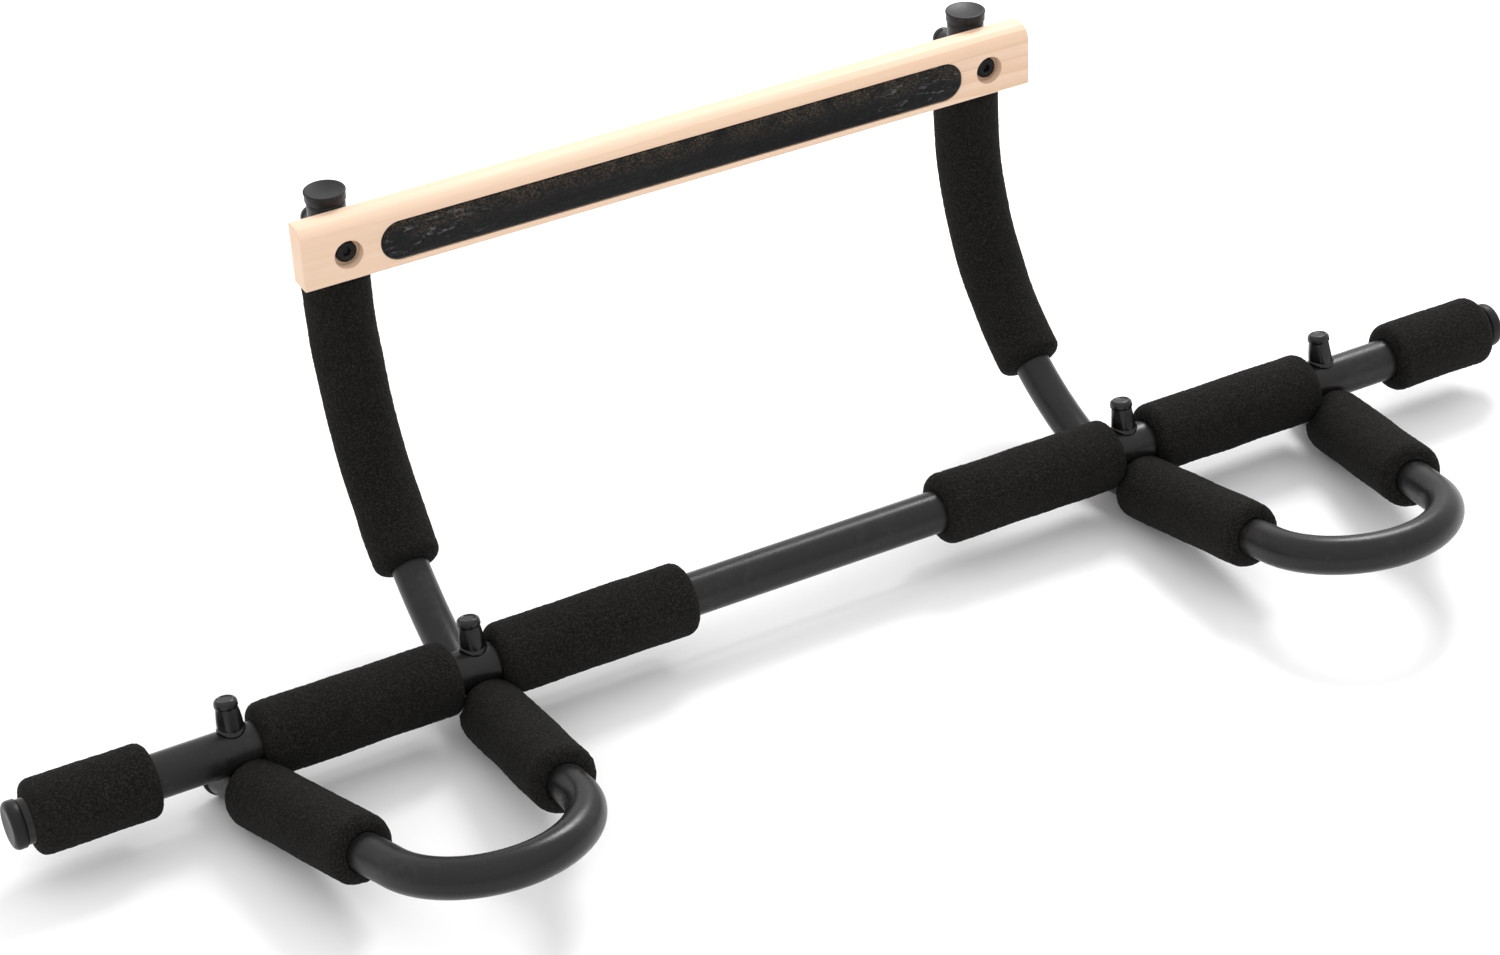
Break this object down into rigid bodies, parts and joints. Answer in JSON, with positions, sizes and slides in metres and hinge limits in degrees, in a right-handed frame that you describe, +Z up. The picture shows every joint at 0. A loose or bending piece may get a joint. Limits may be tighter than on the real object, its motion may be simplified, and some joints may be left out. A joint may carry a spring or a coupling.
{
  "type": "pull up bar",
  "caption": "Doorway pull-up bar: a straight bar with foam grips, looped parallel handles bolted under it, and two curved arms carrying a padded wooden board that bears on the wall.",
  "frame": {"origin": "on the floor, at the middle of the bounding box's base, the bar standing as it rests", "axes": "+X along the main bar to its right end, -Y towards the looped handles, +Z up"},
  "size_m": [0.9626, 0.3986, 0.2568],
  "materials": {
    "paint": "satin dark grey powder coat",
    "foam": "matt fine-celled black foam rubber",
    "plastic": "black moulded plastic, semi-matt",
    "black_steel": "blackened steel",
    "board_wood": "pale planed softwood, unvarnished",
    "pad_rubber": "black sheet rubber, slightly glossy"
  },
  "bodies": {
    "root": {"bar_centre_tube": "paint", "bar_left_tube": "paint", "bar_right_tube": "paint", "bar_left_end_cap": "plastic", "bar_right_end_cap": "plastic", "left_centre_grip": "foam", "left_middle_grip": "foam", "left_end_grip": "foam", "right_centre_grip": "foam", "right_middle_grip": "foam", "right_end_grip": "foam", "left_side_frame": "paint", "right_side_frame": "paint", "left_rear_leg_cap": "plastic", "right_rear_leg_cap": "plastic", "left_arm_top_cap": "plastic", "right_arm_top_cap": "plastic", "left_inner_leg_grip": "foam", "left_outer_leg_grip": "foam", "right_inner_leg_grip": "foam", "right_outer_leg_grip": "foam", "left_arm_grip": "foam", "right_arm_grip": "foam", "header_board": "board_wood", "header_pad": "pad_rubber", "left_inner_bolt": "black_steel", "left_inner_washer": "black_steel", "left_inner_nut": "black_steel", "left_inner_nut_cap": "plastic", "left_outer_bolt": "black_steel", "left_outer_washer": "black_steel", "left_outer_nut": "black_steel", "left_outer_nut_cap": "plastic", "left_board_bolt": "black_steel", "left_board_washer": "black_steel", "left_board_nut": "black_steel", "left_board_nut_cap": "plastic", "right_inner_bolt": "black_steel", "right_inner_washer": "black_steel", "right_inner_nut": "black_steel", "right_inner_nut_cap": "plastic", "right_outer_bolt": "black_steel", "right_outer_washer": "black_steel", "right_outer_nut": "black_steel", "right_outer_nut_cap": "plastic", "right_board_bolt": "black_steel", "right_board_washer": "black_steel", "right_board_nut": "black_steel", "right_board_nut_cap": "plastic"}
  },
  "joints": []
}
